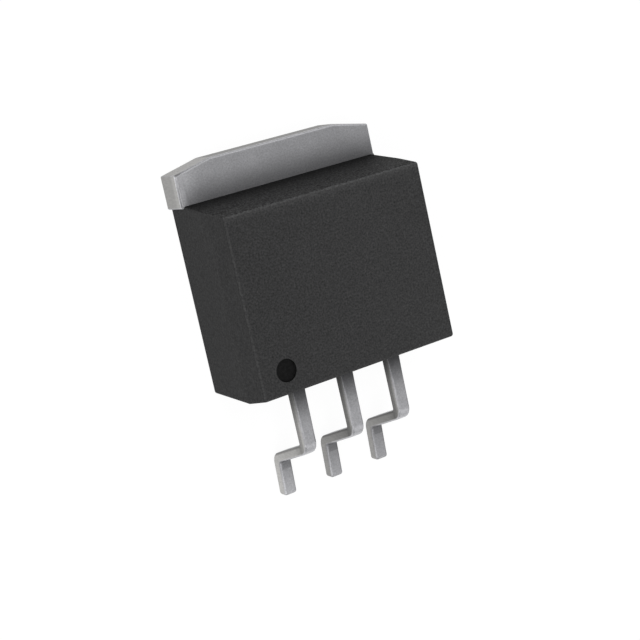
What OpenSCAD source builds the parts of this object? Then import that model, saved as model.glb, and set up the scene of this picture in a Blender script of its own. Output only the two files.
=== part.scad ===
// Surface-mount voltage regulator: a moulded body on a metal heat tab, with three formed leads.
// It lies on its exposed pad, as on a circuit board. +Z points away from the board, +Y points
// to the heat tab, and X runs along the row of leads. The origin is on the board, under the
// middle of the outline. All sizes are in millimetres and all angles in degrees.

/* [Moulded body] */
// Width of the body, across the ridge where the two mould halves meet
body_w = 10.16; // [9.7:0.01:10.6]
// Length of the body, from its wall at the tab to its ridge at the leads
body_l = 8.6; // [8.4:0.01:9.6]
// Height of the body's front face above the board
body_h = 4.6; // [4.3:0.01:4.8]
// Draft of the wall over the tab
tab_side_draft = 8.5; // [3:0.1:12]
// Draft of the wall over the leads, in front of the ridge
lead_side_draft = 7; // [3:0.1:12]
// Draft of the two side walls, in front of the ridge
side_draft = 2.5; // [1:0.1:6]
// Draft of the walls behind the ridge
back_draft = 3.3; // [1:0.1:6]
// Radius round the front face
front_edge_r = 0.12; // [0.05:0.01:0.3]
// Radius round the back face
back_edge_r = 0.05; // [0.02:0.01:0.2]
// Radius of the four upright corners
corner_r = 0.12; // [0.05:0.01:0.6]

/* [Lead one mark] */
// Radius of the round mark at lead one
mark_r = 0.5; // [0.3:0.01:0.9]
// Depth of the mark
mark_depth = 0.12; // [0.05:0.01:0.3]
// Distance of the mark's centre from the ridge of the side wall
mark_from_side = 1.38; // [1.2:0.01:3]
// Distance of the mark's centre from the ridge over the leads
mark_from_ridge = 1.19; // [1.1:0.01:3]

/* [Heat tab] */
// How far the tab's sides stand out past the body's back face
tab_side_out = 0.18; // [0.1:0.01:0.4]
// Thickness of the tab and of the paddle behind it
tab_t = 1.27; // [1.14:0.01:1.65]
// Length of the tab that stands out of the body
tab_out = 1.77; // [1.2:0.01:2.2]
// Width of the corner cut at each end of the tab
tab_cut_w = 1.85; // [1:0.01:3]
// Depth of the corner cut
tab_cut_l = 0.39; // [0.1:0.01:0.8]
// Radius of the stamped corners of the tab, the pad and the posts
stamp_r = 0.12; // [0.05:0.01:0.14]
// How far the tab's full width reaches past the body's wall
shoulder_l = 0.1; // [0:0.01:0.3]

/* [Exposed pad] */
// Width of the moulding beside the bare pad, on the back face
pad_from_side = 0.86; // [0.8:0.01:1.5]
// Distance of the paddle's lower edge from the ridge over the leads
paddle_from_ridge = 3.03; // [2.98:0.01:3.4]
// Height of the pad's rim, where the paddle grows wider and the moulding grips it
lip_z = 0.45; // [0.3:0.01:0.6]
// Overhang of the paddle round the pad
lip_w = 0.3; // [0.1:0.01:0.33]
// Distance of the lock groove from the body's wall at the tab
groove_from_wall = 0.7; // [0.5:0.01:1.2]
// Depth of the lock groove, which is a right-angled V
groove_depth = 0.2; // [0.1:0.01:0.3]

/* [Leads] */
// Distance from lead to lead
lead_pitch = 2.54; // [2.5:0.01:2.6]
// Width of a lead
lead_w = 0.65; // [0.51:0.01:0.8]
// Thickness of a lead
lead_t = 0.46; // [0.38:0.01:0.6]
// Height of a lead's underside where it leaves the body
lead_z = 2.73; // [2.5:0.01:2.8]
// Straight run of a lead, from the ridge to the first bend
lead_run = 2.51; // [2:0.01:3]
// Lean of the riser, away from the upright
riser_lean = 14.6; // [0:0.1:25]
// Slope of the foot, with its toe on the board
foot_slope = 4; // [0:0.1:8]
// Length of the foot's sole, from the corner at its heel to its toe
foot_l = 1.94; // [1.79:0.01:2.7]
// Inside radius of every bend
bend_r = 0.12; // [0.1:0.01:0.2]

/* [Bond posts] */
// Width of the post at the inner end of an outer lead
post_w = 2.7; // [2:0.01:2.9]
// Width of the middle lead inside the body
neck_w = 1.3; // [1:0.01:1.5]
// Distance of each post's outer edge from the ridge
post_from_ridge = 0.55; // [0.5:0.01:0.7]
// Corner cut of the outer posts, and of the pad and the paddle at their lower edge
post_cut = 0.35; // [0.25:0.01:0.5]
// Slope of the step between the middle lead and the paddle
step_slope = 70; // [68:1:75]
// Straight length between the paddle and the step
step_from_paddle = 0.25; // [0.15:0.01:0.3]

/* [Die] */
// Width of the die
die_w = 3; // [2.8:0.01:3.4]
// Length of the die
die_l = 2.3; // [1.8:0.01:2.6]
// Thickness of the die
die_t = 0.28; // [0.2:0.01:0.35]
// Distance of the die from the paddle's lower edge
die_from_edge = 0.6; // [0.4:0.01:0.9]
// Thickness of the solder under the die
solder_t = 0.05; // [0.03:0.01:0.1]
// Width of the solder fillet round the die
solder_rim = 0.1; // [0.05:0.01:0.2]

/* [Bond wires] */
// Diameter of the wires that carry the load
power_wire_d = 0.2; // [0.15:0.01:0.22]
// Diameter of the adjust wire
adjust_wire_d = 0.13; // [0.1:0.01:0.2]
// Radius of the bends along the middle of a wire
wire_bend_r = 0.38; // [0.3:0.01:0.4]
// Climb of a wire from the die
wire_climb = 64; // [55:1:70]
// Fall of a wire to its post
wire_fall = 22; // [15:1:30]
// Distance of the bonds from the die's lower edge
bond_from_edge = 0.4; // [0.35:0.01:0.6]
// Distance of the outer bonds from the die's sides
bond_from_side = 0.35; // [0.3:0.01:0.4]
// Distance between the two bonds of a pair on the die
bond_pitch = 0.48; // [0.44:0.01:0.5]

/* [Hidden] */
$fn = 48;
// Length by which a cutter runs past the face that it opens, and a joined piece into its neighbour
past = 0.5;
// Flat steps round a quarter turn of a moulded edge, a bend of a lead and a bend of a wire
edge_steps = 8;
lead_steps = 12;
wire_steps = 6;
// Sides of a wire
wire_sides = 10;
// Flat steps round a stamped corner
corner_steps = 6;
// Least radius that is left at a corner of the moulding where an edge is rounded
least_r = 0.02;
// Length, width and height of a wire's pressed foot, and length of its neck, in wire diameters
bond_long = 2.2;
bond_wide = 1.5;
bond_high = 0.6;
bond_neck = 0.7;

// Radius of a bend along the middle of a strip
mid_r = bend_r + lead_t / 2;

// Lead form: the riser closes the height between the run and a toe that touches the board
first_bend = 90 - riser_lean;
second_bend = first_bend - foot_slope;
sole_l = foot_l - (bend_r + lead_t) * tan(second_bend / 2);
lead_drop = lead_z + lead_t / 2 * (1 - cos(foot_slope));
bend_drop = mid_r * (1 - 2 * cos(first_bend) + cos(foot_slope));
riser_l = (lead_drop - bend_drop - sole_l * sin(foot_slope)) / sin(first_bend);
lead_out = lead_run + riser_l * cos(first_bend) + sole_l * cos(foot_slope)
         + mid_r * (2 * sin(first_bend) - sin(foot_slope)) + lead_t / 2 * sin(foot_slope);

// Heights
ridge_z = lead_z + lead_t;
die_z = tab_t + solder_t;
die_top_z = die_z + die_t;

// Widths that follow the body's back face
tab_w = 2 * (side_x(0) + tab_side_out);
pad_w = 2 * (side_x(0) - pad_from_side);

// Places along Y, from the tab's end to the toes, with the whole length centred on the origin
tab_end_y = (tab_out + body_l + lead_out) / 2;
tab_wall_y = tab_end_y - tab_out;
ridge_y = tab_wall_y - body_l;
shoulder_y = tab_wall_y - shoulder_l;
paddle_end_y = ridge_y + paddle_from_ridge;
pad_end_y = paddle_end_y + lip_w;
die_y = paddle_end_y + die_from_edge + die_l / 2;
bond_y = die_y - die_l / 2 + bond_from_edge;

// Middle lead: the step closes the height between the paddle's front face and the lead
step_rise = ridge_z - tab_t;
step_l = (step_rise - 2 * mid_r * (1 - cos(step_slope))) / sin(step_slope);
step_run = step_l * cos(step_slope) + 2 * mid_r * sin(step_slope);

// The posts fill the length between the step and the body's wall
post_start_y = paddle_end_y - step_from_paddle - step_run;
post_end_y = ridge_y + post_from_ridge;
post_y = (post_start_y + post_end_y) / 2;
post_l = post_start_y - post_end_y;

// Half width and end walls of the body at a height, on its drafted walls
function behind(z) = max(ridge_z - z, 0) * tan(back_draft);
function before(z, draft) = max(z - ridge_z, 0) * tan(draft);
function side_x(z) = body_w / 2 - behind(z) - before(z, side_draft);
function lead_wall(z) = ridge_y + behind(z) + before(z, lead_side_draft);
function tab_wall(z) = tab_wall_y - (z - tab_t) * tan(tab_side_draft);

// Points of one quarter turn at a corner of the body
function quarter(x, y, r, start, z) =
    [for (i = [0:edge_steps]) let (a = start + 90 * i / edge_steps) [x + r * cos(a), y + r * sin(a), z]];

// Outline of the body at a height: a rectangle with round corners, drawn in by an inset
function body_ring(z, inset) =
    let (r = max(corner_r - inset, least_r),
         x = side_x(z) - inset - r,
         low = lead_wall(z) + inset + r,
         high = tab_wall(z) - inset - r)
    concat(quarter(x, high, r, 0, z), quarter(-x, high, r, 90, z),
           quarter(-x, low, r, 180, z), quarter(x, low, r, 270, z));

// Outlines from the back face, round its edge, over the ridge and round the front edge
function back_rings() =
    [for (i = [0:edge_steps]) let (a = 90 * i / edge_steps)
        body_ring(back_edge_r * (1 - cos(a)), back_edge_r * (1 - sin(a)))];
function front_rings() =
    [for (i = [0:edge_steps]) let (a = 90 * i / edge_steps)
        body_ring(body_h - front_edge_r * (1 - sin(a)), front_edge_r * (1 - cos(a)))];

// Closed skin over a stack of outlines with equal numbers of points, each a left turn as seen
// from the stack's far end
module loft(rings) {
    n = len(rings[0]);
    last = (len(rings) - 1) * n;
    walls = [for (k = [0:len(rings) - 2], i = [0:n - 1])
        let (a = k * n + i, b = k * n + (i + 1) % n)
        [a, a + n, b + n, b]];
    near_face = [for (i = [0:n - 1]) i];
    far_face = [for (i = [n - 1:-1:0]) last + i];
    polyhedron([for (ring = rings, p = ring) p], concat([near_face, far_face], walls));
}

// Places and headings along a flat path after its start, from pairs of a straight length and a
// turn. A place is [along, up, heading], and a turn to the left is positive.
function trace(path, r, steps, start, i = 0) =
    i == len(path) ? [] :
    let (run = path[i][0],
         turn = path[i][1],
         x = start[0] + run * cos(start[2]),
         y = start[1] + run * sin(start[2]),
         side = turn < 0 ? -r : r,
         places = turn == 0 ? [[x, y, start[2]]] :
             [for (k = [0:steps]) let (a = start[2] + turn * k / steps)
                 [x + side * (sin(a) - sin(start[2])), y - side * (cos(a) - cos(start[2])), a]])
    concat(places, trace(path, r, steps, places[len(places) - 1], i + 1));

// Formed strip that sets out along -Y, with the middle of its section at a start place
module strip(w, start_y, start_z, path) {
    places = concat([[0, 0, 0]], trace(path, mid_r, lead_steps, [0, 0, 0]));
    h = lead_t / 2;
    under = [for (p = places) [p[0] + h * sin(p[2]), p[1] - h * cos(p[2])]];
    over = [for (i = [len(places) - 1:-1:0]) let (p = places[i]) [p[0] - h * sin(p[2]), p[1] + h * cos(p[2])]];
    translate([w / 2, start_y, start_z])
        rotate([90, 0, -90])
            linear_extrude(w)
                polygon(concat(under, over));
}

// Lead from its post to its toe
module formed_lead() {
    strip(lead_w, post_y, lead_z + lead_t / 2,
          [[post_y - ridge_y + lead_run, -first_bend], [riser_l, second_bend], [sole_l, 0]]);
}

// Outline with its corners rounded, from a list of corners that turn left
function rounded(corners, r) =
    [for (i = [0:len(corners) - 1])
        let (here = corners[i],
             before = corners[(i + len(corners) - 1) % len(corners)],
             after = corners[(i + 1) % len(corners)],
             from = atan2(here[1] - before[1], here[0] - before[0]),
             turn = (atan2(after[1] - here[1], after[0] - here[0]) - from + 360) % 360,
             back = r * tan(turn / 2),
             x = here[0] - back * cos(from) - r * sin(from),
             y = here[1] - back * sin(from) + r * cos(from))
        for (k = [0:corner_steps]) let (a = from - 90 + turn * k / corner_steps)
            [x + r * cos(a), y + r * sin(a)]];

// Corners of a plate between two edges along Y, with its lower corners cut
function cut_plate(w, low, high, cut) =
    [[w / 2, high], [-w / 2, high], [-w / 2, low + cut], [-w / 2 + cut, low], [w / 2 - cut, low],
     [w / 2, low + cut]];

// Outer lead with the wide post that its wires are bonded to
module outer_lead(side) {
    translate([side * lead_pitch, 0, 0]) {
        formed_lead();
        translate([0, 0, lead_z])
            linear_extrude(lead_t)
                polygon(rounded(cut_plate(post_w, post_end_y, post_start_y, post_cut), stamp_r));
    }
}

// Middle lead: the neck with its bonding place, and the step down to the paddle's front face
module middle_lead() {
    formed_lead();
    strip(neck_w, paddle_end_y + past, tab_t - lead_t / 2,
          [[past + step_from_paddle, step_slope], [step_l, -step_slope], [post_l, 0]]);
}

// Corners of the tab outside the body, with its two corner cuts
function tab_corners() =
    [[-tab_w / 2, shoulder_y], [tab_w / 2, shoulder_y], [tab_w / 2, tab_end_y - tab_cut_l],
     [tab_w / 2 - tab_cut_w, tab_end_y], [-tab_w / 2 + tab_cut_w, tab_end_y],
     [-tab_w / 2, tab_end_y - tab_cut_l]];

// Plate from the tab back into the body, down to a lower edge
module paddle(w, low_y, low_z) {
    translate([0, 0, low_z])
        linear_extrude(tab_t - low_z)
            polygon(rounded(cut_plate(w, low_y, tab_wall_y + tab_out / 2, post_cut), stamp_r));
}

// Cutter for the V groove across the paddle, in which the moulding locks
module lock_groove() {
    translate([-pad_w, tab_wall_y - groove_from_wall, tab_t])
        rotate([90, 0, 90])
            linear_extrude(2 * pad_w)
                polygon([[-groove_depth - past, past], [0, -groove_depth], [groove_depth + past, past]]);
}

module heat_tab() {
    color("silver")
        difference() {
            union() {
                linear_extrude(tab_t)
                    polygon(rounded(tab_corners(), stamp_r));
                paddle(pad_w, pad_end_y, 0);
                paddle(pad_w + 2 * lip_w, paddle_end_y, lip_z);
                middle_lead();
            }
            lock_groove();
        }
}

module adjust_lead() {
    color("silver")
        outer_lead(-1);
}

module input_lead() {
    color("silver")
        outer_lead(1);
}

module regulator_die() {
    color("dimgray")
        translate([-die_w / 2, die_y - die_l / 2, die_z])
            cube([die_w, die_l, die_t]);
}

module die_solder() {
    color("lightgray")
        translate([-die_w / 2 - solder_rim, die_y - die_l / 2 - solder_rim, tab_t])
            cube([die_w + 2 * solder_rim, die_l + 2 * solder_rim, solder_t]);
}

// Section of a wire at a place on its path, as wide and as high as stated in wire diameters
function wire_ring(d, place, wide, high) =
    [for (i = [0:wire_sides - 1]) let (a = 180 / wire_sides * (2 * i + 1), up = d / 2 * high * cos(a))
        [place[0] - up * sin(place[2]), -d / 2 * wide * sin(a), place[1] + up * cos(place[2])]];

// Bond wire: up from the die, over, and down to a post, with a foot pressed flat at each end.
// Its two straight lengths are worked out from the span and the rise between the feet.
module bond_wire(d, from_x, to_x) {
    span = norm([to_x - from_x, post_y - bond_y]);
    rise = ridge_z - die_top_z;
    foot = bond_long * d / 2;
    lead_in = foot + bond_neck * d;
    across = span - 2 * lead_in - 2 * wire_bend_r * (sin(wire_climb) + sin(wire_fall));
    up = rise - 2 * wire_bend_r * (cos(wire_fall) - cos(wire_climb));
    climb_l = (across * sin(wire_fall) + up * cos(wire_fall)) / sin(wire_climb + wire_fall);
    fall_l = (across * sin(wire_climb) - up * cos(wire_climb)) / sin(wire_climb + wire_fall);
    rest = d / 2 * cos(180 / wire_sides);
    pressed = rest * bond_high;
    loop = trace([[0, wire_climb], [climb_l, -wire_climb - wire_fall], [fall_l, wire_fall]],
                 wire_bend_r, wire_steps, [lead_in, rest, 0]);
    first_foot = [for (x = [-foot, foot]) wire_ring(d, [x, pressed, 0], bond_wide, bond_high)];
    last_foot = [for (x = [span - foot, span + foot])
        wire_ring(d, [x, rise + pressed, 0], bond_wide, bond_high)];
    translate([from_x, bond_y, die_top_z])
        rotate([0, 0, atan2(post_y - bond_y, to_x - from_x)])
            loft(concat(first_foot, [for (place = loop) wire_ring(d, place, 1, 1)], last_foot));
}

module adjust_wire() {
    color("gainsboro")
        bond_wire(adjust_wire_d, bond_from_side - die_w / 2, -lead_pitch);
}

// Output wires: a pair, straight from the middle of the die to the middle lead
module output_wire(side) {
    color("gainsboro")
        bond_wire(power_wire_d, side * bond_pitch / 2, side * bond_pitch / 2);
}

// Input wires: a pair, from the right edge of the die to the right post
module input_wire(side) {
    color("gainsboro")
        bond_wire(power_wire_d, die_w / 2 - bond_from_side + (side - 1) * bond_pitch / 2,
                  lead_pitch + side * bond_pitch);
}

// Everything that the moulding is cast round
module cast_in() {
    heat_tab();
    adjust_lead();
    input_lead();
    regulator_die();
    die_solder();
    adjust_wire();
    for (side = [-1, 1]) {
        output_wire(side);
        input_wire(side);
    }
}

module moulded_body() {
    color([0.2, 0.2, 0.2])
        difference() {
            loft(concat(back_rings(), [body_ring(ridge_z, 0)], front_rings()));
            translate([mark_from_side - body_w / 2, ridge_y + mark_from_ridge, body_h - mark_depth])
                cylinder(r = mark_r, h = mark_depth + past);
            cast_in();
        }
}

moulded_body();
heat_tab();
adjust_lead();
input_lead();
regulator_die();
die_solder();
adjust_wire();
output_wire(-1);  // output_wire_1
output_wire(1);  // output_wire_2
input_wire(-1);  // input_wire_1
input_wire(1);  // input_wire_2
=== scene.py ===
import math

import bmesh
import bpy
import numpy as np
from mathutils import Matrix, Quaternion, Vector


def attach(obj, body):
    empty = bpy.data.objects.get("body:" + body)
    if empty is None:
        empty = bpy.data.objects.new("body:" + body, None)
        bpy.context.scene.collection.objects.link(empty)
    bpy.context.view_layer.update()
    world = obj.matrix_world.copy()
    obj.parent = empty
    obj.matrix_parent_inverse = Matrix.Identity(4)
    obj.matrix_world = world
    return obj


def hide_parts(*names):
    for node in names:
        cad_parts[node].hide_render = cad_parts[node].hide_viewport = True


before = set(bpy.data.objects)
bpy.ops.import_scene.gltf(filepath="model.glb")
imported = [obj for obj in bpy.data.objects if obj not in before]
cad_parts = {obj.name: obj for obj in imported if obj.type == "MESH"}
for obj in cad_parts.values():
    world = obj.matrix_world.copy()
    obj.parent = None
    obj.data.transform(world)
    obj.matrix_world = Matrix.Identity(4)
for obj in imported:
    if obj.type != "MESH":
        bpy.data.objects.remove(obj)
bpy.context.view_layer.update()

MM = 0.001

# Camera: the point it looks at, its distance and its angles round the part, in mm and degrees
VIEW_AT = (-0.222, -0.2595, 2.3)
VIEW_DISTANCE = 76.017
VIEW_AZIMUTH = 250.494
VIEW_ELEVATION = 57.855
VIEW_ROLL = 94.155
LENS = 97.5
SENSOR_W = 36

# Light: the sky's level, and soft lamps as (name, radiance, place, size), in mm
SKY_LEVEL = 0.32
LAMPS = [("key_lamp", 7.5, (-14, 25, 75), 20),
         ("tab_side_lamp", 1.6, (34, 44, 44), 30),
         ("left_lamp", 5.5, (-56, -3, 30), 18),
         ("upper_left_lamp", 2.2, (-34, -12, 56), 40),
         ("front_lamp", 0.85, (32, -46, 40), 44)]

# Floor: half its side and its height in mm, just under the part, and how much of it is seen as plain white
FLOOR_HALF = 400
FLOOR_Z = -0.005
PAPER = (0.72, 0.72, 0.72, 1)
WHITE = (1, 1, 1, 1)
WHITE_LEVEL = 1.1
WHITE_SHARE = 0.85

# Places on the part, in mm
FRONT_Z = 4.6
RIDGE_Z = 3.19
TAB_T = 1.27
MARK_AT = (-3.7, -1.372, FRONT_Z)
MARK_R = 0.5
MARK_DEPTH = 0.12
TAB_WALL_Y = 6.038
LEAD_WALL_Y = -2.56
FRONT_HIGH_Y = 5.54
END_Y = 7.2
CROOK_Y = -6.57
PITCH = 2.54
LEAD_LOW_Z = 2.73
BEND_Y = -5.05
RISER_BACK_Y = -5.877
RISER_LEAN = 0.2605
TOE_Y = -7.8

# Radius of the stamped metal's front edges, where the punch rolled them over, the share of it that the
# back edges get, its steps, and the least turn of an edge that is finished, in degrees. An edge is a front or
# a toe edge by where it looks: more than this part of its direction along Z, or less along Y
ROLL_R = 0.125
BACK_SHARE = 0.35
ROLL_STEPS = 4
LEAST_TURN = 30
FRONT_LOOK = 0.1
TOE_LOOK = -0.4

# Corner of the tab where its side meets the corner cut, and the radius that the stamp leaves there
TAB_CORNER = (5.075, 7.418)
STAMP_R = 0.12

# Distance within which points are one, in mm, and the turn up to which faces are one, in degrees
SAME_POINT = 0.0002
SAME_FACE = 0.6

# Wide, shallow fall of the tab's front face towards its sides: half width, reach and depth in mm, and the
# share of it that the tab's right half gets, as a ramp over X
TAB_HALF_W = 5.076
FALL_W = 1.15
FALL_DEPTH = 0.115
LIP_FALL = (TAB_HALF_W - 0.38, TAB_HALF_W - 0.04, 0.0, 0.02)
FALL_SIDES = (-0.5, 0.5, 1.0, 0.35)
TIN_RELIEF = 0.003

# Colours as linear red, green and blue, and roughness
CHARCOAL = (0.047, 0.047, 0.0475)
TIN_FACE = (0.58, 0.58, 0.6)
TIN_CUT = (0.52, 0.515, 0.505)
ALUMINIUM = (0.75, 0.75, 0.76)
SOLDER = (0.42, 0.42, 0.43)
SILICON = (0.09, 0.095, 0.115)
MOULDING_ROUGH = 0.7
MOULDING_SPECULAR = 0.08
MARK_ROUGH = 0.45
TIN_ROUGH = 0.48
CUT_ROUGH = 0.58
ALUMINIUM_ROUGH = 0.3
SOLDER_ROUGH = 0.45
SILICON_ROUGH = 0.3

# Grains as (pitch in mm, strength), with the noise's own settings. The filler's strength is given on the front
# and on the wall over the tab
NOISE_DETAIL = 2.0
NOISE_ROUGHNESS = 0.6
FILLER_PITCH = 0.085
FILLER_STRENGTH = (1.75, 5.6)
FILLER_LEAST = 0.15
FILLER_RELIEF = 0.012
FILLER_BUMP = 0.35
CLOTS = (0.26, 0.3)
FLOW = (2.4, 0.14)
TIN_GRAIN = (0.07, 0.7)
TIN_CLOUD = (0.9, 0.14)
STREAKS = (0.06, 0.5)
STREAK_STRETCH = (1, 1, 0.3)
PIT_PITCH = 0.14
PIT_SHARE = 0.3
PIT_CORE = (0.2, 0.45, 1.0, 0.0)
PIT_DEPTH = 0.15
WIRE_PITCH = 0.03
SOLDER_PITCH = 0.08
METAL_STRENGTH = 0.3
CLOUD_STRENGTH = 0.2
CLOUD_PITCHES = 8
METAL_RELIEF = 0.004
METAL_BUMP = 0.2
DIE_GRAIN = (0.04, 0.25)
DIE_CLOUD = (0.6, 0.2)

# The ramps below are (start, end) or (start, end, value before, value after). They run over a place in mm, or
# over a part of the surface's direction, from -1 to 1, where the name ends in FACING.

# Moulding: the wall over the tab, and the painted light along X there and in front
WALL_FACING = (0.7, 0.95)
FRONT_LIGHT_ACROSS = (-5.0, 5.0, 0.9, 1.05)
WALL_LIGHT_ACROSS = (-5.0, 5.0, 1.12, 0.9)
# The painted highlight on the edge round the front, with its gain on other edges and on the wall's, and on the
# rim beside it
EDGE_FACING = (0.35, 0.6)
FRONT_FACING = (0.93, 0.995, 1.0, 0.0)
EDGE_GAIN_FACING = (0.1, 0.5, 0.22, 0.95)
RIM_FACING = (0.9, 0.99)
RIM_Y = (FRONT_HIGH_Y - 0.42, FRONT_HIGH_Y - 0.08)
RIM_HIGHLIGHT = 0.28
# The painted shade at the start of that edge's turn, the seam along the ridge and the painted highlight on the
# corners beside the wall
TURN_FACING = (0.1, 0.2)
TURN_END_FACING = (0.35, 0.6, 1.0, 0.0)
TURN_SIDE_FACING = (0.1, 0.5, 1.0, 0.0)
TURN_SHADE = 0.16
SEAM = (0.01, 0.04, 1.1, 1.0)
CORNER_FACING = (0.2, 0.5)
CORNER_Z = (RIDGE_Z - 1.2, RIDGE_Z)
CORNER_HIGHLIGHT = 1.2
# The mark's rim and tone, and the painted shade on the wall down to the tab
MARK_RIM = (MARK_R + 0.03, MARK_R + 0.06, 1.0, 0.0)
MARK_TONE = 0.2
WALL_SHADE_UP = (TAB_T, FRONT_Z + 0.2, 0.42, 0.85)
TAB_CONTACT_SHADE = (TAB_T, TAB_T + 1.6, 0.5, 1.0)

# Tin: what is a sheared face, and the painted shade on the tab's corner cuts and end
SHEARED_FACING = (0.8, 0.97)
CORNER_CUT_FACING = (0.88, 0.94, 1.0, 0.8)
END_CUT_FACING = (0.984, 0.996, 1.0, 0.6)
# Painted shade beside the moulding, on the tab and on the leads, and an even darker tone on the tab's cut sides
TAB_SHADE = (TAB_WALL_Y - 0.1, TAB_WALL_Y + 1.3, 0.45, 1.0)
STEEP_FACING = (0.3, 0.8)
TAB_CUT_TONE = 0.735
LEAD_SHADE = (LEAD_WALL_Y - 1.98, LEAD_WALL_Y + 0.12, 1.0, 0.13)
# Painted shadow in the crook over each foot: its reach, the flat part of the lead over X, and its tones
CROOK_NEAR = (CROOK_Y - 0.04, CROOK_Y + 0.04)
CROOK_HIGH = (0.6, 1.1, 1.0, 0.0)
LEAD_FLAT = (-0.26, -0.15)
CROOK_SHADOW = (CROOK_Y - 0.1, CROOK_Y + 0.5, 0.76, 0.56)
# Painted shade down the foot towards the crook, and a painted highlight along each foot's left edge
FOOT_END = CROOK_Y + 0.55
FOOT_SHADE = (TOE_Y, CROOK_Y + 0.2, 1.0, 0.71)
FOOT_EDGE_HIGHLIGHT = 1.04
# Painted shade that sets the three leads apart, over X: the feet, and the cut sides, where those of the middle
# and the third lead change with Z
FIRST_LEAD = (-2.1, -1.9)
FOOT_LEVELS = ((*FIRST_LEAD, 1.04, 0.885), (1.0, 1.5, 1.0, 0.98))
FIRST_LEAD_SIDE = 1.06
OTHER_LEAD_SIDES = (2.0, 2.9, 0.67, 0.71)
THIRD_LEAD_SIDE = (1.0, 1.5, 1.0, 1.08)
# Painted light and shade on the leads' cut sides: over Y by the foot, over Z up the riser, and across the
# thickness of the run. A darker tone towards the riser's back, but not on the foot
SIDE_DOWN = (CROOK_Y, CROOK_Y + 1.3, 1.0, 0.84)
SIDE_UP = (2.0, 2.9, 1.0, 0.74)
RUN_Z = (LEAD_LOW_Z - 0.1, LEAD_LOW_Z)
RUN_LOW = (LEAD_LOW_Z, LEAD_LOW_Z + 0.17, 0.82, 1.0)
RUN_HIGH = (LEAD_LOW_Z + 0.23, LEAD_LOW_Z + 0.34, 1.0, 1.5)
BACK_DARKENING = (-0.14, -0.06, 1.0, 0.6)
FOOT_Z = (0.4, 0.6, 1.0, 0.0)
# Painted highlight along the left edge of the runs of the middle and the third lead
RUN_LIP_FACINGS = ((0.0, 0.15), (0.45, 0.75, 1.0, 0.0))
RUN_LEFT_FACING = (-0.5, -0.3, 1.0, 0.0)
RUN_LIP_Y = (BEND_Y - 0.1, BEND_Y + 0.1)
RUN_LIP_TONE = 1.35
# The tab's left lip: painted shade where the punch drew the face down, and a painted highlight along the edge and
# the cut
ROLLED_FACING = (0.2, 0.5)
ROLLED_X = (TAB_HALF_W - 0.66, TAB_HALF_W - 0.05)
ROLLED_END_FACING = (0.6, 0.8, 1.0, -0.5)
ROLLED_SHADE = (6.2, 7.1, 1.0, 0.6)
LEFT_FACING = (-0.3, -0.15, 1.0, 0.0)
LIP_Z = (TAB_T - 0.47, TAB_T - 0.2)
LIP_FACING = (0.4, 0.8, 1.0, 0.0)
LIP_TONE = 1.2
ROLL_HIGHLIGHT_FACINGS = ((0.2, 0.55), (0.75, 0.95, 1.0, 0.0))
ROLL_HIGHLIGHT = 1.4
# Painted shade on the right edges and the undersides of the leads, and a painted highlight on the toe's round end
RIGHT_EDGE_FACING = (0.3, 0.8, 1.0, 0.62)
TOE_FACINGS = ((-0.9, -0.3, 1.0, 0.0), (0.3, 0.8, 1.0, 0.0))
TOE_END = TOE_Y + 0.3
TOE_HIGHLIGHT = 1.25
UNDER_FACING = (0.05, 0.45)
UNDER_SHADE = 0.55


def back_direction(azimuth, elevation):
    """Unit vector from the part to a camera at these angles: azimuth 0 looks along +Y."""
    a, e = math.radians(azimuth), math.radians(elevation)
    return Vector((math.sin(a) * math.cos(e), -math.cos(a) * math.cos(e), math.sin(e)))


def add_camera():
    """Camera at the photograph's angle, rolled about its own axis so that the leads point down."""
    data = bpy.data.cameras.new("view")
    data.lens = LENS
    data.sensor_width = SENSOR_W
    data.clip_start = MM
    camera = bpy.data.objects.new("view", data)
    bpy.context.scene.collection.objects.link(camera)
    back = back_direction(VIEW_AZIMUTH, VIEW_ELEVATION)
    camera.location = Vector(VIEW_AT) * MM + back * VIEW_DISTANCE * MM
    camera.rotation_mode = "QUATERNION"
    level = (-back).to_track_quat("-Z", "Y")
    camera.rotation_quaternion = Quaternion(-back, -math.radians(VIEW_ROLL)) @ level
    bpy.context.scene.camera = camera


def add_lamp(name, radiance, place, size):
    """Square soft lamp of a given radiance that faces the part. Its power is radiance times area times pi."""
    data = bpy.data.lights.new(name, "AREA")
    data.size = size * MM
    data.energy = radiance * data.size ** 2 * math.pi
    lamp = bpy.data.objects.new(name, data)
    bpy.context.scene.collection.objects.link(lamp)
    lamp.location = Vector(place) * MM
    lamp.rotation_mode = "QUATERNION"
    lamp.rotation_quaternion = (-Vector(place)).to_track_quat("-Z", "Y")


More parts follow.
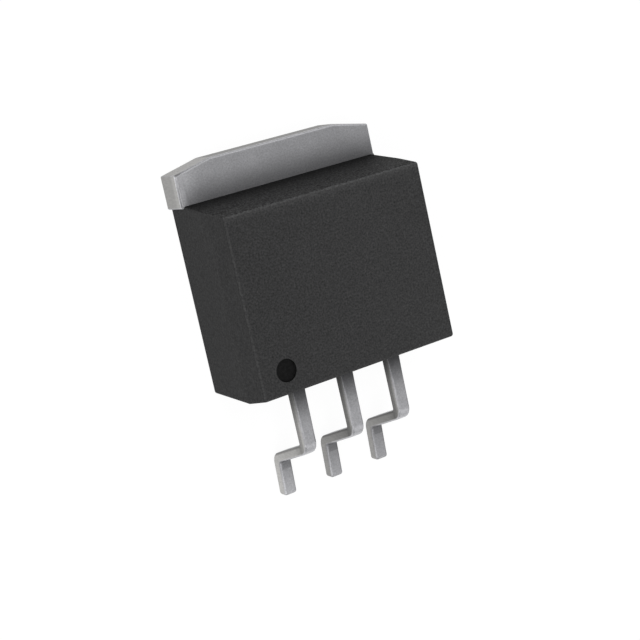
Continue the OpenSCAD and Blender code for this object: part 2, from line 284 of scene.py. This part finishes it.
class Tree:
    """Short way to add nodes to a tree and link them."""

    def __init__(self, tree):
        self.tree = tree

    def node(self, kind, settings=None, inputs=()):
        """Node with its settings, and with the inputs named in pairs fed by values or outputs."""
        made = self.tree.nodes.new("ShaderNode" + kind)
        for key, value in (settings or {}).items():
            setattr(made, key, value)
        for key, value in dict(inputs).items():
            self.feed(made.inputs[key], value)
        return made

    def feed(self, socket, value):
        """Links an output to a socket, or sets the socket's own value."""
        if isinstance(value, bpy.types.NodeSocket):
            self.tree.links.new(value, socket)
        else:
            socket.default_value = value

    def math(self, operation, a, b=0.0):
        return self.node("Math", {"operation": operation}, {0: a, 1: b}).outputs[0]

    def size(self, value):
        return self.math("ABSOLUTE", value)

    def minus(self, a, b):
        return self.math("SUBTRACT", a, b)

    def either(self, a, b):
        """The greater of two masks or values."""
        return self.math("MAXIMUM", a, b)

    def below(self, value, limit):
        return self.math("LESS_THAN", value, limit)

    def above(self, value, limit):
        return self.math("GREATER_THAN", value, limit)

    def times(self, *values):
        """Product of values."""
        product = values[0]
        for value in values[1:]:
            product = self.math("MULTIPLY", product, value)
        return product

    def ramp(self, value, low, high, to_low=0.0, to_high=1.0):
        """Smooth step of a value from low to high, onto another range."""
        return self.node("MapRange", {"interpolation_type": "SMOOTHSTEP"},
                         {0: value, 1: low, 2: high, 3: to_low, 4: to_high}).outputs[0]

    def between(self, mask, outside, inside):
        """Value that goes from outside to inside with a mask."""
        return self.ramp(mask, 0, 1, outside, inside)

    def toned(self, mask, tone):
        """Factor of 1 outside a mask and of a tone inside it."""
        return self.between(mask, 1.0, tone)

    def mix(self, share, a, b):
        """Mix of two colours."""
        return self.node("Mix", {"data_type": "RGBA"}, {0: share, 6: a, 7: b}).outputs[2]

    def tint(self, colour, factor):
        """Colour times a factor."""
        return self.node("VectorMath", {"operation": "SCALE"}, {0: colour, "Scale": factor}).outputs[0]

    def group(self, tree, **inputs):
        return self.node("Group", {"node_tree": tree}, inputs).outputs[0]

    def grain(self, tree, place, pitch, strength):
        return self.group(tree, Place=place, Pitch=pitch, Strength=strength)

    def relief(self, shader, height, strength, depth):
        """Feeds a height of some depth in mm to a shader as a bump."""
        bump = self.node("Bump", None, {"Height": height, "Strength": strength, "Distance": depth * MM})
        self.feed(shader.inputs["Normal"], bump.outputs[0])


class Spot:
    """Place on the part in mm, and the surface's direction there, as outputs of a tree's nodes."""

    def __init__(self, t):
        coords = t.node("TexCoord").outputs
        scaled = t.node("Mapping", None, {"Vector": coords["Object"], "Scale": (1 / MM, 1 / MM, 1 / MM)})
        self.place = scaled.outputs[0]
        self.x, self.y, self.z = t.node("SeparateXYZ", None, {0: self.place}).outputs
        self.nx, self.ny, self.nz = t.node("SeparateXYZ", None, {0: coords["Normal"]}).outputs


def new_group(name, numbers):
    """Empty node group that takes a place and some numbers, and puts out one value."""
    tree = bpy.data.node_groups.new(name, "ShaderNodeTree")
    tree.interface.new_socket("Place", in_out="INPUT", socket_type="NodeSocketVector")
    for key in numbers:
        tree.interface.new_socket(key, in_out="INPUT", socket_type="NodeSocketFloat")
    tree.interface.new_socket("Value", in_out="OUTPUT", socket_type="NodeSocketFloat")
    return Tree(tree), tree.nodes.new("NodeGroupInput").outputs, tree.nodes.new("NodeGroupOutput").inputs


def make_grain():
    """Even grain round 1: noise of a pitch in mm, spread out by a strength."""
    t, given, out = new_group("grain", ("Pitch", "Strength"))
    noise = t.node("TexNoise", None, {"Vector": given["Place"], "Scale": t.math("DIVIDE", 1.0, given["Pitch"]),
                                      "Detail": NOISE_DETAIL, "Roughness": NOISE_ROUGHNESS})
    swing = t.times(t.minus(noise.outputs[0], 0.5), given["Strength"])
    t.feed(out[0], t.math("ADD", swing, 1.0))
    return t.tree


def make_pits():
    """Sparse pits: 1 in the cores of a share of cells that are one pitch wide, and 0 elsewhere."""
    t, given, out = new_group("pits", ("Pitch", "Share"))
    cells = t.node("TexVoronoi", None, {"Vector": given["Place"], "Scale": t.math("DIVIDE", 1.0, given["Pitch"])})
    pick = t.node("SeparateXYZ", None, {0: cells.outputs["Color"]}).outputs[0]
    core = t.ramp(cells.outputs["Distance"], *PIT_CORE)
    t.feed(out[0], t.times(t.below(pick, given["Share"]), core))
    return t.tree


def new_material(name, metallic, roughness, specular=0.5):
    """Material with its main shader's constants set."""
    made = bpy.data.materials.new(name)
    made.use_nodes = True
    shader = made.node_tree.nodes["Principled BSDF"]
    shader.inputs["Metallic"].default_value = metallic
    shader.inputs["Roughness"].default_value = roughness
    shader.inputs["Specular IOR Level"].default_value = specular
    return made, Tree(made.node_tree), shader


def moulding_compound(grain):
    """Charcoal epoxy: matt with fine filler grain, coarser on the wall over the tab, a faint seam along the ridge
    and a polished mark. It has painted highlights on its edges, rim and corners, painted shade at the start of
    the edge's turn and on the wall down to the tab, and painted light along X."""
    made, t, shader = new_material("moulding_compound", 0, MOULDING_ROUGH, MOULDING_SPECULAR)
    s = Spot(t)
    wall = t.ramp(s.ny, *WALL_FACING)
    filler = t.grain(grain, s.place, FILLER_PITCH, t.between(wall, *FILLER_STRENGTH))
    filler = t.either(filler, FILLER_LEAST)
    # Painted light along X: lighter to the front's right and to the wall's left
    across = t.between(wall, t.ramp(s.x, *FRONT_LIGHT_ACROSS), t.ramp(s.x, *WALL_LIGHT_ACROSS))
    # Painted shade on the wall over the tab, darkest down at the tab
    wall_shade = t.toned(wall, t.times(t.ramp(s.z, *WALL_SHADE_UP), t.ramp(s.z, *TAB_CONTACT_SHADE)))
    # Painted highlight on the rounded edge round the front
    edge = t.times(t.ramp(s.nz, *EDGE_FACING), t.ramp(s.nz, *FRONT_FACING), t.ramp(s.ny, *EDGE_GAIN_FACING))
    # Painted shade at the start of the edge's turn
    turn = t.times(t.ramp(s.nz, *TURN_FACING), t.ramp(s.nz, *TURN_END_FACING), t.ramp(s.ny, *TURN_SIDE_FACING))
    # Painted highlight on the rim beside the front's top edge
    rim = t.times(t.ramp(s.y, *RIM_Y), t.ramp(s.nz, *RIM_FACING))
    seam = t.ramp(t.size(t.minus(s.z, RIDGE_Z)), *SEAM)
    # Painted highlight on the corners beside the wall
    corner = t.times(t.ramp(t.size(s.nx), *CORNER_FACING), t.ramp(s.ny, *CORNER_FACING), t.ramp(s.z, *CORNER_Z))
    far = t.node("VectorMath", {"operation": "DISTANCE"}, {0: s.place, 1: MARK_AT}).outputs["Value"]
    mark = t.times(t.ramp(far, *MARK_RIM), t.below(s.z, FRONT_Z - MARK_DEPTH / 4))
    tone = t.times(filler, t.grain(grain, s.place, *CLOTS), t.grain(grain, s.place, *FLOW), across, wall_shade, seam,
                   t.math("ADD", 1.0, edge), t.minus(1.0, t.times(turn, TURN_SHADE)),
                   t.math("ADD", 1.0, t.times(rim, RIM_HIGHLIGHT)), t.toned(corner, CORNER_HIGHLIGHT),
                   t.toned(mark, MARK_TONE))
    t.feed(shader.inputs["Base Color"], t.tint(CHARCOAL, tone))
    t.feed(shader.inputs["Roughness"], t.between(mark, MOULDING_ROUGH, MARK_ROUGH))
    t.relief(shader, filler, FILLER_BUMP, FILLER_RELIEF)
    return made


def tin_shade(t, s, on_tab):
    """Painted shade beside the moulding, on the tab's face and on the leads. The tab's cut sides get an even
    darker tone.
    """
    tab = t.between(t.ramp(t.size(s.nx), *STEEP_FACING), t.ramp(s.y, *TAB_SHADE), TAB_CUT_TONE)
    return t.either(t.times(tab, on_tab), t.times(t.ramp(s.y, *LEAD_SHADE), t.below(s.y, 0.0)))


def foot_tone(t, s):
    """Painted light and shade on the feet's faces: a painted shadow in the crook, fading from there to the toe,
    painted shade that sets the leads apart and a painted highlight along each foot's left edge. WRAP gives the
    place across each lead."""
    across = t.node("Math", {"operation": "WRAP"}, {0: s.x, 1: PITCH / 2, 2: -PITCH / 2}).outputs[0]
    flat = t.ramp(across, *LEAD_FLAT)
    crook = t.times(t.ramp(s.y, *CROOK_NEAR), t.ramp(s.z, *CROOK_HIGH), flat)
    foot_shading = t.times(t.toned(crook, t.ramp(s.y, *CROOK_SHADOW)), t.ramp(s.y, *FOOT_SHADE),
                   *[t.ramp(s.x, *level) for level in FOOT_LEVELS], t.between(flat, FOOT_EDGE_HIGHLIGHT, 1.0))
    return t.toned(t.below(s.y, FOOT_END), foot_shading)


def lead_side_tone(t, s, on_run):
    """Painted light and shade on the leads' cut sides: lighter towards the foot, darker higher up, lighter on the
    first lead than on the other two, darker low on the run's side and lighter high on it. Up the riser they are
    also darker towards its back. The place behind the riser is Y less its back, which leans with Z."""
    side_shading = t.times(t.ramp(s.y, *SIDE_DOWN), t.ramp(s.z, *SIDE_UP),
                     t.ramp(s.x, *FIRST_LEAD, FIRST_LEAD_SIDE, t.ramp(s.z, *OTHER_LEAD_SIDES)),
                     t.ramp(s.x, *THIRD_LEAD_SIDE))
    from_back = t.minus(t.minus(s.y, RISER_BACK_Y), t.times(s.z, RISER_LEAN))
    back_darkening = t.either(t.ramp(from_back, *BACK_DARKENING), t.either(on_run, t.ramp(s.z, *FOOT_Z)))
    run_shade_and_highlight = t.toned(on_run, t.times(t.ramp(s.z, *RUN_LOW), t.ramp(s.z, *RUN_HIGH)))
    return t.times(side_shading, run_shade_and_highlight, back_darkening)


def rolled_tone(t, s, on_tab):
    """Painted shade on the face along the tab's left side, which the punch drew down, darkest at the far end."""
    steep = t.size(s.nx)
    rolled = t.either(t.ramp(steep, *ROLLED_FACING), t.ramp(t.size(s.x), *ROLLED_X))
    rolled = t.times(rolled, on_tab, t.below(s.x, 0.0), t.ramp(steep, *ROLLED_END_FACING))
    return t.toned(rolled, t.ramp(s.y, *ROLLED_SHADE))


def lip_tone(t, s, on_tab, on_run):
    """Painted highlights along the left edges: the tab's lip and its roll, and the lips of two of the runs."""
    left = t.times(t.ramp(s.nx, *LEFT_FACING), on_tab)
    lip = t.times(t.ramp(s.z, *LIP_Z), t.ramp(s.nz, *LIP_FACING), left)
    roll_highlight = t.times(*[t.ramp(s.nz, *facing) for facing in ROLL_HIGHLIGHT_FACINGS], left)
    run_lip = t.times(*[t.ramp(s.nz, *facing) for facing in RUN_LIP_FACINGS], t.ramp(s.nx, *RUN_LEFT_FACING),
                      t.ramp(s.x, *FIRST_LEAD), t.ramp(s.y, *RUN_LIP_Y), on_run)
    return t.times(t.toned(lip, LIP_TONE), t.toned(roll_highlight, ROLL_HIGHLIGHT), t.toned(run_lip, RUN_LIP_TONE))


def side_fall(t, s):
    """Fall of the tab's face in mm: the square of how far a place is into the reach, and a steeper lip."""
    wide = t.size(s.x)
    reach = t.either(t.math("DIVIDE", t.minus(wide, TAB_HALF_W - FALL_W), FALL_W), 0.0)
    fall = t.times(t.math("POWER", reach, 2.0), FALL_DEPTH)
    return t.times(t.math("ADD", fall, t.ramp(wide, *LIP_FALL)), t.ramp(s.x, *FALL_SIDES))


def matt_tin(grain, pits):
    """Matt tin plate: a fine satin face, and rougher, warmer sheared edges with streaks and pits along the cut.
    It has painted shade beside the moulding, on the tab's far cuts, right edges and undersides, painted light and
    shade down the leads, and painted highlights along the left edges and on the toes."""
    made, t, shader = new_material("matt_tin", 1, TIN_ROUGH)
    s = Spot(t)
    on_tab = t.above(s.y, 0.0)
    on_run = t.ramp(s.z, *RUN_Z)
    fine = t.grain(grain, s.place, *TIN_GRAIN)
    cloud = t.grain(grain, s.place, *TIN_CLOUD)
    along_cut = t.node("VectorMath", {"operation": "MULTIPLY"}, {0: s.place, 1: STREAK_STRETCH}).outputs[0]
    streaks = t.grain(grain, along_cut, *STREAKS)
    pitted = t.group(pits, Place=s.place, Pitch=PIT_PITCH, Share=PIT_SHARE)
    end = t.times(t.ramp(t.size(s.ny), *SHEARED_FACING), t.above(t.size(s.y), END_Y))
    sheared = t.either(t.ramp(t.size(s.nx), *SHEARED_FACING), end)

    # Painted highlight on the toe's round end
    toe = t.times(t.ramp(s.ny, *TOE_FACINGS[0]), t.ramp(s.nz, *TOE_FACINGS[1]), t.below(s.y, TOE_END))
    face = t.tint(TIN_FACE, t.times(fine, cloud, foot_tone(t, s), rolled_tone(t, s, on_tab),
                                    t.toned(toe, TOE_HIGHLIGHT)))
    # Painted shade on the tab's corner cuts and end
    far_cut_shade = t.times(t.ramp(s.ny, *CORNER_CUT_FACING), t.ramp(s.ny, *END_CUT_FACING))
    cut = t.tint(TIN_CUT, t.times(streaks, cloud, far_cut_shade, t.either(lead_side_tone(t, s, on_run), on_tab),
                                  t.minus(1.0, t.times(pitted, PIT_DEPTH))))
    # Painted shade on the leads' undersides, beside the moulding and on the right edges, and painted highlights
    # along the left edges
    under = t.times(t.ramp(t.minus(s.ny, s.nz), *UNDER_FACING), t.below(s.y, 0.0))
    both = t.times(tin_shade(t, s, on_tab), t.toned(under, UNDER_SHADE), t.ramp(s.nx, *RIGHT_EDGE_FACING),
                   lip_tone(t, s, on_tab, on_run))
    t.feed(shader.inputs["Base Color"], t.tint(t.mix(sheared, face, cut), both))
    t.feed(shader.inputs["Roughness"], t.times(t.between(sheared, TIN_ROUGH, CUT_ROUGH), cloud))
    t.relief(shader, t.minus(t.times(t.mix(sheared, fine, streaks), TIN_RELIEF), side_fall(t, s)), 1.0, 1.0)
    return made


def plain_metal(name, colour, roughness, pitch, grain):
    """Metal with a fine grain of its own in colour, roughness and height."""
    made, t, shader = new_material(name, 1, roughness)
    place = Spot(t).place
    fine = t.grain(grain, place, pitch, METAL_STRENGTH)
    cloud = t.grain(grain, place, CLOUD_PITCHES * pitch, CLOUD_STRENGTH)
    t.feed(shader.inputs["Base Color"], t.tint(colour, t.times(fine, cloud)))
    t.feed(shader.inputs["Roughness"], t.times(roughness, cloud))
    t.relief(shader, fine, METAL_BUMP, METAL_RELIEF)
    return made


def silicon(grain):
    """Silicon die: dark grey and smooth, a little uneven."""
    made, t, shader = new_material("silicon", 0, SILICON_ROUGH)
    place = Spot(t).place
    fine = t.grain(grain, place, *DIE_GRAIN)
    cloud = t.grain(grain, place, *DIE_CLOUD)
    t.feed(shader.inputs["Base Color"], t.tint(SILICON, t.times(fine, cloud)))
    t.feed(shader.inputs["Roughness"], t.times(SILICON_ROUGH, cloud))
    return made


def points_of(mesh):
    """Places of a mesh's vertices, one row each."""
    points = np.empty(3 * len(mesh.vertices))
    mesh.vertices.foreach_get("co", points)
    return points.reshape(-1, 3)


def whole_faced_copy(node):
    """Copy of a node's mesh with its flat faces made whole. The stamp's small arc at each corner of the tab is
    first drawn together to the corner: points that are within its radius of the corner, on either side of
    X = 0, move there."""
    mesh = node.data.copy()
    points = points_of(mesh)
    near = np.hypot(np.abs(points[:, 0]) / MM - TAB_CORNER[0], points[:, 1] / MM - TAB_CORNER[1]) < STAMP_R
    points[near, 0] = np.sign(points[near, 0]) * TAB_CORNER[0] * MM
    points[near, 1] = TAB_CORNER[1] * MM
    mesh.vertices.foreach_set("co", points.ravel())
    work = bmesh.new()
    work.from_mesh(mesh)
    bmesh.ops.remove_doubles(work, verts=work.verts, dist=SAME_POINT * MM)
    bmesh.ops.dissolve_limit(work, angle_limit=math.radians(SAME_FACE), verts=work.verts, edges=work.edges)
    work.to_mesh(mesh)
    work.free()
    if "custom_normal" in mesh.attributes:
        mesh.attributes.remove(mesh.attributes["custom_normal"])
    return mesh


def edge_shares(mesh):
    """Share of the roll's radius for each edge. The sum of the two face directions at an edge has length
    2 cos(turn / 2), which gives the edge's turn, and its direction says where the edge looks. Front edges and
    the toes' edges get all of it, the back ones a part, and edges inside the moulding none."""
    direction = np.empty(3 * len(mesh.polygons))
    mesh.polygons.foreach_get("normal", direction)
    corners = np.empty(len(mesh.polygons), np.int32)
    mesh.polygons.foreach_get("loop_total", corners)
    edge_of = np.empty(len(mesh.loops), np.int32)
    mesh.loops.foreach_get("edge_index", edge_of)
    both = np.zeros((len(mesh.edges), 3))
    np.add.at(both, edge_of, np.repeat(direction.reshape(-1, 3), corners, axis=0))
    length = np.linalg.norm(both, axis=1)
    turn = 2 * np.degrees(np.arccos(np.clip(length / 2, 0, 1)))
    looks = both / np.maximum(length, 1e-9)[:, None]
    ends = np.empty(2 * len(mesh.edges), np.int32)
    mesh.edges.foreach_get("vertices", ends)
    y = points_of(mesh)[ends.reshape(-1, 2), 1] / MM
    front = looks[:, 2] > FRONT_LOOK
    toe = (looks[:, 1] < TOE_LOOK) & (y.max(axis=1) < -END_Y)
    inside = (y.min(axis=1) > LEAD_WALL_Y) & (y.max(axis=1) < TAB_WALL_Y)
    return np.where((turn > LEAST_TURN) & ~inside, np.where(front | toe, 1.0, BACK_SHARE), 0.0)


def stamped(name, material):
    """Stamped node with finished edges, in the node's place: the front is rolled over by the punch, and the
    back stays nearly sharp."""
    mesh = whole_faced_copy(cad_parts[name])
    weight = mesh.attributes.new("bevel_weight_edge", "FLOAT", "EDGE")
    weight.data.foreach_set("value", edge_shares(mesh).astype(np.float32))
    mesh.polygons.foreach_set("use_smooth", np.ones(len(mesh.polygons), bool))
    mesh.set_sharp_from_angle(angle=math.radians(LEAST_TURN))
    mesh.materials.clear()
    mesh.materials.append(material)
    piece = bpy.data.objects.new(name + "_plated", mesh)
    bpy.context.scene.collection.objects.link(piece)
    rolled = piece.modifiers.new("rolled_edges", "BEVEL")
    rolled.width = ROLL_R * MM
    rolled.segments = ROLL_STEPS
    rolled.limit_method = "WEIGHT"
    rolled.use_clamp_overlap = False
    rolled.harden_normals = True
    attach(piece, "root")
    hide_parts(name)


def paint(name, material):
    """Gives a node its material."""
    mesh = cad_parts[name].data
    mesh.materials.clear()
    mesh.materials.append(material)


def add_sky():
    """Even surroundings at the sky's level for light, and plain white behind the part."""
    world = bpy.data.worlds.new("sky")
    bpy.context.scene.world = world
    world.use_nodes = True
    t = Tree(world.node_tree)
    light = world.node_tree.nodes["Background"]
    light.inputs["Color"].default_value = WHITE
    light.inputs["Strength"].default_value = SKY_LEVEL
    white = t.node("Background", None, {"Color": WHITE})
    seen = t.node("LightPath").outputs["Is Camera Ray"]
    both = t.node("MixShader", None, {0: seen, 1: light.outputs[0], 2: white.outputs[0]})
    t.feed(world.node_tree.nodes["World Output"].inputs["Surface"], both.outputs[0])


def add_floor():
    """Pale floor that keeps the part's soft shadow, and shows plain white elsewhere."""
    half, low = FLOOR_HALF * MM, FLOOR_Z * MM
    mesh = bpy.data.meshes.new("floor")
    mesh.from_pydata([(-half, -half, low), (half, -half, low), (half, half, low), (-half, half, low)],
                     [], [(0, 1, 2, 3)])
    floor = bpy.data.objects.new("floor", mesh)
    bpy.context.scene.collection.objects.link(floor)
    made = bpy.data.materials.new("white_paper")
    made.use_nodes = True
    t = Tree(made.node_tree)
    made.node_tree.nodes.remove(made.node_tree.nodes["Principled BSDF"])
    paper = t.node("BsdfDiffuse", None, {"Color": PAPER}).outputs[0]
    glow = t.node("Emission", None, {"Color": WHITE, "Strength": WHITE_LEVEL}).outputs[0]
    path = t.node("LightPath").outputs
    seen = t.either(path["Is Camera Ray"], t.either(path["Is Glossy Ray"], path["Is Transmission Ray"]))
    both = t.node("MixShader", None, {0: t.times(seen, WHITE_SHARE), 1: paper, 2: glow}).outputs[0]
    t.feed(made.node_tree.nodes["Material Output"].inputs["Surface"], both)
    mesh.materials.append(made)


bpy.context.scene.view_settings.view_transform = "Standard"
add_camera()
add_sky()
for lamp in LAMPS:
    add_lamp(*lamp)
add_floor()

grain = make_grain()
tin = matt_tin(grain, make_pits())
aluminium = plain_metal("bond_aluminium", ALUMINIUM, ALUMINIUM_ROUGH, WIRE_PITCH, grain)
solder = plain_metal("die_solder", SOLDER, SOLDER_ROUGH, SOLDER_PITCH, grain)
FINISHES = {"moulded_body": moulding_compound(grain), "heat_tab": tin, "adjust_lead": tin, "input_lead": tin,
            "regulator_die": silicon(grain), "die_solder": solder, "adjust_wire": aluminium,
            "output_wire_1": aluminium, "output_wire_2": aluminium,
            "input_wire_1": aluminium, "input_wire_2": aluminium}
for name, material in FINISHES.items():
    paint(name, material)
for name in ("heat_tab", "adjust_lead", "input_lead"):
    stamped(name, tin)
